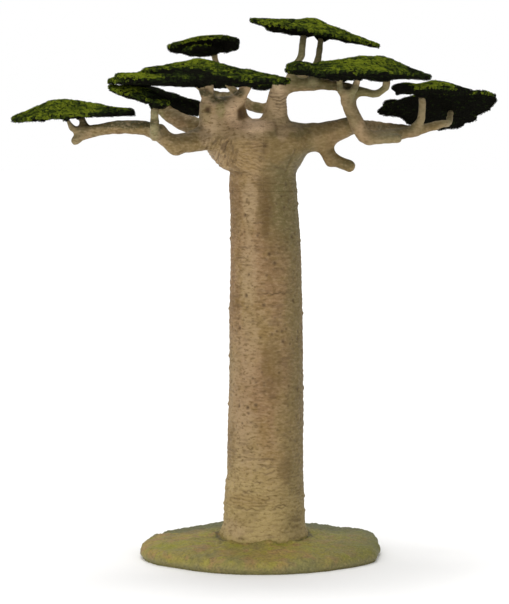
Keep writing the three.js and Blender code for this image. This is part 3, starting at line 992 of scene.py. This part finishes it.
def ball(place, sizes, tilt):
    """A stretched ball, turned as the pad is tilted."""
    bpy.ops.mesh.primitive_uv_sphere_add(segments=20, ring_count=12, radius=1)
    piece = bpy.context.object
    place_points(piece, (points_of(piece) * sizes @ tilt + place) * MM)
    return piece


def flare(end, direction, radius):
    """A short cone that widens from a limb tip up into the pad."""
    bpy.ops.mesh.primitive_cone_add(vertices=16, radius1=radius + 0.3 * MM,
                                    radius2=radius * 1.3 + 0.6 * MM, depth=3 * MM)
    cone = bpy.context.object
    turn = direction.to_track_quat("Z", "Y").to_matrix()
    points = points_of(cone) @ np.array(turn).T
    place_points(cone, points + end - direction * 0.6 * MM)
    return cone


cores = {}
for name, pad in pads.items():
    short_name = name.removeprefix("foliage_")
    ragged = RAGGED.get(short_name, 1)
    parts = [copy_of(name, "core_" + short_name)]
    swell(parts[0], -0.25 * MM)
    along = np.sign(pad.long[0]) * pad.long
    tilt = np.array([along, np.cross(pad.up, along), pad.up])
    for place, sizes in LUMPS.get(short_name, []):
        parts.append(ball(place, sizes, tilt))
    for limb_name, pad_name, end, direction in tips:
        if pad_name == name and short_name != UNFLARED:
            parts.append(flare(end, direction, limbs[limb_name].radius))
    core = join(parts, parts[0].name)
    remesh(core, PAD_GRAIN)
    apply(core, "SMOOTH", factor=0.5, iterations=3)
    spots, away = points_of(core), normals_of(core)
    top = away @ pad.up
    bulge = lumps(spots, 6, 11) * 0.7 + lumps(spots, 2.4, 12) * 0.45
    wall = 1 - ramp(np.abs(top), 0.3, 0.8)
    hang = np.clip(lumps(spots, 4, 13), 0, 1) * ramp(-top, 0.3, 0.8) * 0.8
    rim = lumps(spots, 3.2, 14) * 1.2 * (ragged - 1)
    move = bulge * (0.6 + 0.9 * wall * ragged) + rim * wall
    move += hang - 0.25 + 0.55 * ramp(top, 0.2, 0.8)
    place_points(core, pull(spots + away * move[:, None] * MM, PULLS.get(short_name, [])))
    paint(core, "upward", top)
    core.data.shade_smooth()
    cores[name] = core
print("cores:", sum(len(core.data.polygons) for core in cores.values()), "faces")

# %% [markdown]
# ## One spray of leaves
#
# A baobab leaf is a hand of five leaflets on one stalk. On the model the leaves are only hinted
# at, in lumps of about a millimetre, so one hand of that size stands for each lump. A leaflet
# is a four-sided cone pressed flat and drawn out, which makes a ridged leaf of six triangles, and
# a spin makes the hand.

# %% Model the sprays
LEAFLET_LONG = 0.85 * MM
LEAFLET_WIDE = 0.62 * MM
LEAFLET_THICK = 0.20 * MM


def spray(name, leaflets, droop):
    """Models a hand of leaflets round the origin that faces up."""
    bpy.ops.mesh.primitive_cone_add(vertices=4, radius1=1, radius2=0, depth=1, end_fill_type="NGON")
    hand = bpy.context.object
    hand.name = name
    switch_to("EDIT")
    bpy.ops.transform.resize(value=(LEAFLET_LONG / 2, LEAFLET_WIDE / 2, LEAFLET_THICK))
    bpy.ops.transform.translate(value=(LEAFLET_LONG / 2 + 0.1 * MM, 0, 0))
    bpy.ops.transform.rotate(value=droop, orient_axis="Y", center_override=(0, 0, 0))
    bpy.ops.mesh.spin(steps=leaflets - 1, dupli=True, center=(0, 0, 0), axis=(0, 0, 1),
                      angle=math.tau * (leaflets - 1) / leaflets)
    bpy.ops.mesh.select_all(action="SELECT")
    bpy.ops.mesh.normals_make_consistent(inside=False)
    bpy.ops.mesh.quads_convert_to_tris()
    switch_to("OBJECT")
    shape = points_of(hand)
    faces = np.array([tuple(face.vertices) for face in hand.data.polygons])
    bpy.data.objects.remove(hand)
    print(name, "has", len(faces), "triangles")
    return shape, faces


OPEN_HAND = spray("open_hand", 5, math.radians(22))
LOW_HAND = spray("low_hand", 4, math.radians(30))


# %% Dealing the sprays out
def even_spots(points, spacing, chance):
    """Picks points in a random order, none nearer to another than the spacing."""
    taken, kept = {}, []
    order = list(range(len(points)))
    chance.shuffle(order)
    cells = np.floor(points / spacing).astype(int).tolist()
    rows = points.tolist()
    steps = [(i, j, k) for i in (-1, 0, 1) for j in (-1, 0, 1) for k in (-1, 0, 1)]
    for index in order:
        x, y, z = cells[index]
        spot = rows[index]
        near = (other for i, j, k in steps for other in taken.get((x + i, y + j, z + k), ()))
        if all(math.dist(spot, other) >= spacing for other in near):
            taken.setdefault((x, y, z), []).append(spot)
            kept.append(index)
    return np.array(kept)


def deal(hand, spots, facing, chance, size=(0.8, 1.2), lean=0.16, lift=0.1 * MM):
    """Copies a spray to every spot, facing outwards with a random turn, lean and size."""
    shape, faces = hand
    count = len(spots)
    up = facing + chance.normal(0, lean, (count, 3))
    up /= np.linalg.norm(up, axis=1, keepdims=True)
    any_way = chance.normal(0, 1, (count, 3))
    side = np.cross(up, any_way)
    side /= np.linalg.norm(side, axis=1, keepdims=True)
    turned = np.stack([side, np.cross(up, side), up], axis=1)
    scale = chance.uniform(*size, count)
    corners = np.einsum("vi,nij->nvj", shape, turned) * scale[:, None, None]
    corners += (spots + facing * lift)[:, None, :]
    starts = np.arange(count)[:, None, None] * len(shape)
    return corners.reshape(-1, 3), (faces[None] + starts).reshape(-1, 3)


def leaf_piece(name, batches, finish):
    """Joins batches of dealt sprays into one piece of foliage."""
    corners, faces, so_far = [], [], 0
    for batch_corners, batch_faces in batches:
        corners.append(batch_corners)
        faces.append(batch_faces + so_far)
        so_far += len(batch_corners)
    mesh = bpy.data.meshes.new(name)
    mesh.from_pydata(np.concatenate(corners).tolist(), [], np.concatenate(faces).tolist())
    piece = new_piece(name, mesh)
    finish_with(piece, finish)
    print(name, len(mesh.polygons), "triangles")
    return piece


# %% [markdown]
# ## Colours of the leaves
#
# The pads were sprayed nearly black, then brushed from above with dark green, mid green and last a
# bright yellow green. The brush stopped at a line along each pad's front, below which it stays
# black. Those lines and the brightest and darkest spots are listed, a few millimetre places for
# each pad, and a patchy noise breaks them up. Heights are taken as they look from the front, a
# little from below: each millimetre to the rear counts as a small drop.

# %% Leaf paints
LEAF_PAINTS = {
    "bright": tint(112, 124, 34),
    "fresh": tint(82, 94, 28),
    "green": tint(55, 67, 25),
    "deep": tint(34, 42, 21),
    "black": tint(24, 24, 19),
}
leaf_finishes = {}
for paint_name, leaf_colour in LEAF_PAINTS.items():
    leaf_paint = Finish("leaf_" + paint_name)
    leaf_paint.set(Base_Color=leaf_colour, Roughness=0.85, Specular_IOR_Level=0)
    leaf_finishes[paint_name] = leaf_paint

# The core is the dark base coat under the leaves, and its near black also stands partly as painted
# shade in the gaps between them.
core_finish = Finish("foliage_core")
core_mottle = core_finish.noise(1.6, detail=3.0)
core_green = core_finish.coats(tint(17, 17, 13), (core_mottle.between(0.35, 0.7), tint(28, 33, 19)))
facing_up = core_finish.painted("upward").between(-0.1, 0.5)
core_colour = core_finish.coats(tint(17, 17, 14), (facing_up * 0.8, core_green))
core_finish.set(Base_Color=core_colour, Roughness=0.85, Specular_IOR_Level=0)
core_finish.bump(core_mottle, 0.5)
print(len(leaf_finishes), "leaf paints and the core's finish")

# %% Where the brush went
SLANT = -0.028
BRUSH_LINES = {
    "far_left": [(-136, 240), (-109, 241), (-100, 243), (-92, 245.4), (-82, 246.6), (-75, 247.4),
        (-68, 247.8)],
    "left_front": [(-84, 251.5), (-70, 248.5), (-60, 246), (-48, 245)],
    "left_rear": [(-65, 275), (-35, 275)],
    "left_centre": [(-82, 262), (-71, 263.2), (-66, 264.2), (-60, 268), (-54, 269.1), (-42, 269.9),
        (-34, 269.6), (-25, 266.6), (-13, 264.2), (-2, 262), (6, 260), (15, 258)],
    "upper_left": [(-55, 278.6), (-48, 279.6), (-42.5, 280.8), (-34.5, 282.4), (-26, 284.4),
        (-20, 285.8), (-12, 287.2)],
    "top": [(-7, 290), (0, 289), (10, 287), (17, 288), (26, 287), (37, 284.6), (48, 282),
        (65, 278)],
    "right_centre": [(12, 265), (25, 266.4), (34, 268), (48, 268), (58, 267), (64, 268.4),
        (74, 267), (89, 265)],
    "right_upper": [(71, 262), (79, 261), (83, 257.8), (91, 257), (99, 257.4), (107, 258.8),
        (113, 261.5)],
    "right_lower": [(65, 253), (100, 257), (106, 254.8), (117, 253.6), (126, 253.6), (132, 257),
        (134, 259)],
}
# Spots that are brighter or darker: the middle (x, height), half the width, half the height, and
# how much is added to the tone.
BRUSH_SPOTS = {
    "far_left": [(-107, 248, 16, 6, 0.25), (-92, 250, 10, 3, 0.12), (-72, 248, 6, 4, -0.1)],
    # The brighter spots on left_front are partly a painted highlight where left_centre above shades
    # that pad.
    "left_front": [(-77, 258, 8, 4, 0.3), (-56, 256.5, 7, 2.6, -0.5), (-66, 253, 7, 3, 0.12)],
    "left_centre": [(-38, 273.5, 10, 3, 0.3), (-64, 266, 14, 2, 0.45), (-43, 265.6, 13, 1.5, 0.5),
        (-42, 265.4, 15, 1.8, -0.6), (-4, 264, 18, 5, -0.06)],
    "upper_left": [(-36, 286.5, 15, 4, 0.3), (-16, 285, 4, 3, -0.3)],
    "top": [(31, 294, 9, 5, 0.22), (6, 292, 13, 4, 0.22), (55, 284, 12, 4, 0.2),
        (22, 289, 4, 1.8, -0.4), (33, 287.4, 4, 1.3, -0.4)],
    "right_centre": [(53, 273, 15, 5, 0.28), (22, 271, 12, 4, -0.08), (84, 268, 7, 4, -0.3)],
    "right_upper": [(92, 261, 16, 3.5, 0.22), (74, 259, 7, 5, -0.5), (108, 260, 6, 4, -0.3)],
    "right_lower": [(120, 256, 11, 2.5, 0.12)],
}


def brushed(name, spots, facing):
    """How brightly each spot of a pad was brushed: about 0 where black and 1 where brightest."""
    side = spots[:, 0] / MM
    seen = (spots[:, 2] + SLANT * spots[:, 1]) / MM
    seen += 1.1 * lumps(spots, 4, 23) + 0.5 * lumps(spots, 1.5, 24)
    from_above = ramp(facing[:, 2] + 0.3 * lumps(spots, 3, 25), -0.8, -0.4)
    reached = np.ones(len(spots))
    if name in BRUSH_LINES:
        stop = np.interp(side, *zip(*BRUSH_LINES[name]))
        to_rear = ramp(facing[:, 1], -0.1, 0.2)
        reached = ramp(seen - stop, -0.7, 0.5) * (1 - to_rear) + to_rear
    tone = 0.52 + 0.45 * lumps(spots, 5, 21) + 0.4 * lumps(spots, 1.9, 22)
    tone += 0.45 * lumps(spots, 1.0, 28)
    for x, z, wide, tall, change in BRUSH_SPOTS.get(name, []):
        near = np.exp(-(((side - x) / wide) ** 2 + ((seen - z) / tall) ** 2) ** 2)
        tone += change * near
        reached = np.maximum(reached, near * (change > 0.4))
    brush = reached * from_above
    left_green = 0.3 * ramp(lumps(spots, 2.4, 26), 0.0, 0.6)
    return tone * brush + left_green * (1 - brush)


# %% Deal the leaves out
TOP_SPACING = 0.95 * MM
UNDER_SPACING = 1.25 * MM
UNDERSIDE = -0.15
LEAF_LIMIT = 190000
# The tones between which each leaf paint is used, from black to bright.
TONE_STEPS = [-9, 0.16, 0.36, 0.55, 0.76, 9]
draw = np.random.default_rng(5)
chance = random.Random(15)
dealt = {name: [] for name in LEAF_PAINTS}
for name, pad in pads.items():
    core = cores[name]
    finish_with(core, core_finish)
    spots, facing = points_of(core), normals_of(core)
    tone = brushed(name.removeprefix("foliage_"), spots, facing)
    upper = np.flatnonzero(facing[:, 2] > UNDERSIDE)
    lower = np.flatnonzero(facing[:, 2] <= UNDERSIDE)
    upper = upper[even_spots(spots[upper], TOP_SPACING, chance)]
    lower = lower[even_spots(spots[lower], UNDER_SPACING, chance)]
    for paint_name, low, high in zip(reversed(LEAF_PAINTS), TONE_STEPS, TONE_STEPS[1:]):
        for hand, side in ((OPEN_HAND, upper), (LOW_HAND, lower)):
            mine = side[(tone[side] >= low) & (tone[side] < high)]
            if len(mine):
                dealt[paint_name].append(deal(hand, spots[mine], facing[mine], draw))

leaf_pieces = []
for paint_name, batches in dealt.items():
    groups = [[]]
    for batch in batches:
        if sum(len(faces) for _, faces in groups[-1] + [batch]) > LEAF_LIMIT:
            groups.append([])
        groups[-1].append(batch)
    for number, group in enumerate(groups, 1):
        piece_name = f"leaves_{paint_name}_{number}"
        leaf_pieces.append(leaf_piece(piece_name, group, leaf_finishes[paint_name]))

# %% [markdown]
# ## Twigs under the pads
#
# From every limb tip a few ribs run out under the pad and fork as they go. They are curves with a
# round section that thins towards the tip, grown by one seeded rule: step outwards, stay against
# the underside, and now and then split in two.

# %% Grow the twigs
TWIG_START = 0.7 * MM
TWIG_STEP = 2.2 * MM
BELOW_PAD = 15 * MM
SPLIT_CHANCE = 0.38
RIBS = 4
RIB_SHARE = 0.3
chance = random.Random(31)
twig_lines = bpy.data.curves.new("twigs", "CURVE")
twig_lines.dimensions = "3D"
twig_lines.bevel_depth = 1.0
twig_lines.bevel_resolution = 1
twig_lines.use_fill_caps = True


def draw_twig(points, thick):
    """Adds one tapering twig through these points."""
    line = twig_lines.splines.new("POLY")
    line.points.add(len(points) - 1)
    for index, (spot, point) in enumerate(zip(points, line.points)):
        point.co = (*spot, 1)
        point.radius = thick * (1 - 0.75 * index / len(points))


def grow(pad, surface, start, turn, steps, thick):
    """Grows a twig along the underside from its start, and a side twig here and there."""
    points, spot = [start], start
    for step in range(steps):
        turn += chance.uniform(-0.22, 0.22)
        below = spot + Vector(pad.out(turn)) * TWIG_STEP - Vector(pad.up) * BELOW_PAD
        found = surface.ray_cast(below, Vector(pad.up))[0]
        if found is None or (found - spot).length > 2 * TWIG_STEP:
            break
        spot = found - Vector(pad.up) * 0.1 * MM
        points.append(spot)
        if step > 0 and steps - step > 2 and chance.random() < SPLIT_CHANCE:
            way = turn + chance.choice((-1, 1)) * chance.uniform(0.5, 0.9)
            grow(pad, surface, spot, way, steps - step - 2, thick * 0.7)
    if len(points) > 2:
        draw_twig(points, thick)


core_surfaces = {name: surface_of(core) for name, core in cores.items()}
for _, pad_name, end, direction in tips:
    pad = pads[pad_name]
    for rib in range(RIBS):
        turn = math.tau * (rib + chance.uniform(-0.3, 0.3)) / RIBS
        steps = int(RIB_SHARE * pad.reach(turn % math.tau - math.pi) / TWIG_STEP)
        grow(pad, core_surfaces[pad_name], end - direction * 1.0 * MM, turn, steps, TWIG_START)

twigs = new_piece("twigs", twig_lines)
only(twigs)
bpy.ops.object.convert(target="MESH")
twigs = bpy.context.object
twig_finish = Finish("painted_twig")
twig_colour = twig_finish.coats(tint(16, 16, 12), (twig_finish.noise(1.2), tint(26, 24, 17)))
twig_finish.set(Base_Color=twig_colour, Roughness=0.7, Specular_IOR_Level=0)
finish_with(twigs, twig_finish)
print("twigs:", len(twig_lines.splines), "lines,", len(twigs.data.polygons), "faces")

# %% [markdown]
# ## The plate of ground
#
# The stand is an oval cake of moulded turf, gritty on top and smooth and flat underneath. A
# remeshed copy of its solid gives an even skin to press the grit and the soft swells into, and the
# underside is set level again afterwards, because the tree stands on it. Its edge is drawn in or
# out where the real one wanders, and patches of moss, rust and lichen are listed.

# %% Build the ground
# Where the plate's edge is drawn in or out: a place, a reach and a move, in millimetres.
GROUND_PULLS = [
    [(62, 26, 8), 18, (2, 2, 0.6)],
    [(-48, -48, 2), 24, (1.5, 1.5, 0)],
    [(-18, 58, 9), 16, (0, 0, 0.8)],
    [(0, -64, 2), 40, (0, -1.2, 0)],
]
# Patches of paint on the turf: the middle (x, y), half the width, half the depth and the strength.
TURF_PATCHES = {
    "moss": [(9.5, -30, 5, 5, 0.9), (19, -14, 5, 6, 0.6), (54, -22, 9, 14, 0.8),
        (-52, -23, 12, 14, 0.75), (-17, -26, 7, 10, 0.5), (-32, -10, 7, 12, 0.3),
        (36, -30, 12, 16, 0.3), (28, 2, 8, 12, 0.4), (0, -64, 16, 4, 0.3)],
    "rust": [(-39, 20, 9, 15, 0.8), (-62, -10, 6, 14, 0.6), (-20, -48, 7, 9, 0.55),
        (3, -50, 10, 12, 0.45), (46, -28, 6, 9, 0.35), (-46, -2, 8, 8, 0.4), (18, -46, 8, 7, 0.3)],
    "lichen": [(64, 0, 6, 30, 0.8), (24, -60, 17, 4, 0.6), (-14, -60, 9, 5, 0.35),
        (44, 40, 26, 16, 0.7), (-44, 44, 22, 12, 0.7), (-64, 14, 6, 16, 0.4),
        (-34, -50, 12, 6, 0.3), (56, -44, 10, 6, 0.5)],
}
GROUND_GRAIN = 0.85 * MM
FLAT_BELOW = 0.9 * MM
ground = copy_of("ground_plate", "ground_turf")
remesh(ground, GROUND_GRAIN)
apply(ground, "SMOOTH", factor=0.5, iterations=6)
turf, out = points_of(ground), normals_of(ground)
from_trunk = np.hypot(turf[:, 0] - 1 * MM, turf[:, 1]) / MM + 1.3 * lumps(turf, 5, 45)
top = ramp(out[:, 2], 0.1, 0.7)
aside = ramp(np.abs(turf[:, 0]) / MM, 12, 24)
crease = bell(from_trunk, 26.2, 1.2) * top * (0.35 + 0.65 * aside)
mound = bell(from_trunk, 31, 6) * top * ramp(turf[:, 1] / MM, -6, 14)
swells = lumps(turf, (20, 15, 40), 41) * 1.1 + lumps(turf, 7, 44) * 0.85
grit = lumps(turf, 2.2, 42) * 0.45 + lumps(turf, 1.2, 43) * 0.35
side = ramp(turf[:, 2] / MM, 0.5, 2.5)
swells += 2.2 * bell(from_trunk, 26.5, 2.4) * np.clip(lumps(turf, 6, 47) + 0.2, 0, 1)
turf = turf + out * ((swells * top + grit * (0.4 + 0.6 * top) + 1.2 * mound) * side * MM)[:, None]
turf = pull(turf, GROUND_PULLS)
edge_waver = 0.9 * lumps(turf * (1, 1, 0), 9, 49) * ramp(from_trunk, 44, 58)
turf = turf + (out * (1, 1, 0)) * (edge_waver * MM)[:, None]
turf[turf[:, 2] < FLAT_BELOW, 2] = 0
place_points(ground, turf)
paint(ground, "crease", crease)
waver = 5 * lumps(turf, 9, 71) + 3 * lumps(turf, 3, 72)


def off_patch(x, y, wide, deep):
    """How far each point of the turf lies from a patch's middle, where 1 is about its edge."""
    return np.hypot((turf[:, 0] / MM - x + waver) / wide, (turf[:, 1] / MM - y + waver) / deep)


for patch_name, patches in TURF_PATCHES.items():
    paint(ground, patch_name, spread(off_patch, 0.4, 1.3, patches))
ground.data.shade_smooth()
print("ground:", len(ground.data.polygons), "faces")

# %% Paint the ground
soil = Finish("painted_turf")
broad = soil.noise(18)
patchy = soil.noise(8, stretch=(1, 0.6, 1), shift=5.0)
rusty = soil.noise(9, detail=1.0, shift=11.0)
flecks = soil.noise(3.5, shift=19.0)
grain = soil.noise(1.2, detail=3.0)
behind = (soil.axis(1) + broad * 24).between(16, 40)
to_right = (soil.axis(0) + broad * 30).between(30, 80) * (1 - behind)
at_rim = 1 - (soil.axis(2) + patchy * 3).between(2.5, 7)
soil_colour = soil.coats(
    tint(136, 124, 62),
    (broad.between(0.35, 0.65), tint(143, 130, 54)),
    (patchy.between(0.5, 0.66) * 0.85, tint(142, 136, 36)),
    (rusty.between(0.52, 0.64) * 0.75, tint(150, 116, 72)),
    (flecks.between(0.5, 0.7) * 0.35, tint(158, 150, 50)),
    (flecks.between(0.5, 0.34) * 0.35, tint(104, 96, 56)),
    (patchy.between(0.45, 0.28) * 0.6, tint(120, 104, 66)),
    (soil.painted("rust") * 0.75, tint(156, 122, 72)),
    (soil.painted("moss") * 0.9, tint(132, 130, 24)),
    (soil.painted("lichen") * 0.75, tint(100, 104, 66)),
    (behind * 0.85, tint(80, 84, 46)),
    (to_right * 0.6, tint(88, 88, 38)),
    (at_rim * 0.75, tint(118, 112, 72)),
    (grain.between(0.5, 0.34) * 0.5, tint(86, 80, 42)),
    (grain.between(0.54, 0.7) * 0.3, tint(170, 158, 100)),
    (soil.painted("crease") * 0.8, tint(52, 44, 24)),
)
soil.set(Base_Color=soil_colour, Roughness=0.65)
soil.bump(grain, 0.3)
finish_with(ground, soil)
print("ground painted")

# %% The studio floor's finish
floor_finish = Finish("studio_white")
NEAR_WHITE, WHITER = (0.985, 0.985, 0.985, 1), (0.995, 0.995, 0.995, 1)
floor_colour = floor_finish.coats(NEAR_WHITE, (floor_finish.noise(400), WHITER))
floor_finish.set(Base_Color=floor_colour, Roughness=0.9)
finish_with(floor, floor_finish)

# %% [markdown]
# ## The pieces ride with the tree
#
# Every piece rides with the tree, which has no joints, and any solids of the frame that it stands
# for are hidden.

# %% Attach each piece and hide what it stands for
LIMBS = [name for name in WOOD if name != "trunk"]
left_limbs = [name for name in LIMBS if sum(c.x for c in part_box(name)) / 2 < CROWN_MIDDLE.x]
right_limbs = [name for name in LIMBS if name not in left_limbs]
for piece, slot_name, stands_for in [
    (trunk_bark, "bark", ["trunk"]),
    (left_bark, "bark", left_limbs),
    (right_bark, "bark", right_limbs),
    (ground, "ground", ["ground_plate"]),
    (twigs, "bark", []),
    *[(core, "foliage", [name]) for name, core in cores.items()],
    *[(piece, "foliage", []) for piece in leaf_pieces],
]:
    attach(piece, "root")
    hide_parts(*stands_for)
bpy.data.objects.remove(wood)
